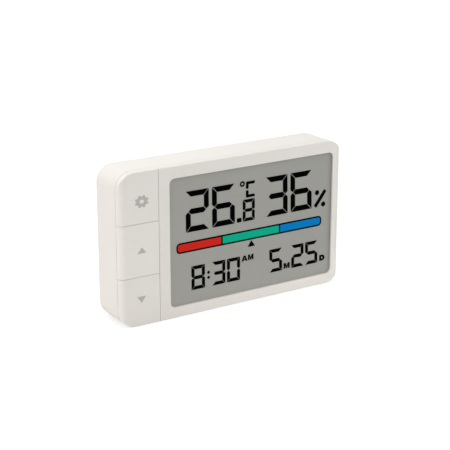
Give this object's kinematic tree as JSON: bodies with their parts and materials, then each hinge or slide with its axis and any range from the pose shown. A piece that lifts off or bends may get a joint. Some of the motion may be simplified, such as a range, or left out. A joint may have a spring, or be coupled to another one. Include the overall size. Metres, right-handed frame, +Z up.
{
  "type": "temperature and humidity sensor with clock",
  "caption": "Slim upright white box with a large liquid crystal display and a column of push buttons, which shows temperature, humidity and the time.",
  "frame": {"origin": "middle of the bottom, on the surface that the object stands on", "axes": "+X to the reader's right along the length, +Y from the display to the back, +Z up"},
  "size_m": [0.093, 0.0162, 0.055],
  "materials": {
    "case_plastic": "satin moulded white ABS",
    "button_plastic": "satin moulded white ABS with printed symbols",
    "display_film": "matt polarising film with the display image",
    "display_glass": "clear float glass",
    "strip_rubber": "layered silicone rubber",
    "inner_plastic": "black moulded plastic",
    "foam": "closed-cell foam",
    "board_laminate": "green solder mask on glass laminate",
    "resin": "black potting resin",
    "chip_case": "moulded chip case",
    "capacitor_ceramic": "fired ceramic with tinned ends",
    "plated_steel": "nickel-plated steel",
    "screw_steel": "zinc-plated steel",
    "cell_can": "nickel-plated can",
    "cell_sleeve": "printed shrink sleeve, plain colours"
  },
  "bodies": {
    "case": {"front_frame": "case_plastic", "rear_housing": "case_plastic", "front_polariser": "display_film", "rear_polariser": "display_film", "front_glass": "display_glass", "rear_glass": "display_glass", "contact_strip": "strip_rubber", "display_spacer": "inner_plastic", "foam_pad": "foam", "main_board": "board_laminate", "switch_bodies": "inner_plastic", "switch_covers": "plated_steel", "controller_blob": "resin", "sensor_chip": "chip_case", "clock_crystal": "plated_steel", "board_capacitors": "capacitor_ceramic", "battery_cells": "cell_can", "cell_sleeves": "cell_sleeve", "positive_tab": "plated_steel", "negative_tab": "plated_steel", "link_plate": "plated_steel", "contact_springs": "plated_steel", "board_screws": "screw_steel", "housing_screws": "screw_steel"},
    "settings_button": {"settings_button": "button_plastic", "settings_switch_stem": "chip_case"},
    "up_button": {"up_button": "button_plastic", "up_switch_stem": "chip_case"},
    "down_button": {"down_button": "button_plastic", "down_switch_stem": "chip_case"},
    "battery_door": {"battery_door": "case_plastic", "door_latch": "case_plastic"}
  },
  "joints": [
    {"name": "settings_press", "type": "slide", "parent": "case", "child": "settings_button", "axis": [0, 1, 0], "range_m": [0, 0.0002], "stiffness_N_per_m": 400, "springref_m": -0.002},
    {"name": "up_press", "type": "slide", "parent": "case", "child": "up_button", "axis": [0, 1, 0], "range_m": [0, 0.0002], "stiffness_N_per_m": 400, "springref_m": -0.002},
    {"name": "down_press", "type": "slide", "parent": "case", "child": "down_button", "axis": [0, 1, 0], "range_m": [0, 0.0002], "stiffness_N_per_m": 400, "springref_m": -0.002},
    {"name": "door_hinge", "type": "hinge", "parent": "case", "child": "battery_door", "pos_m": [0, 0.0074, 0.0511], "axis": [1, 0, 0], "range_deg": [0, 80], "deforming": ["door_latch"]}
  ]
}
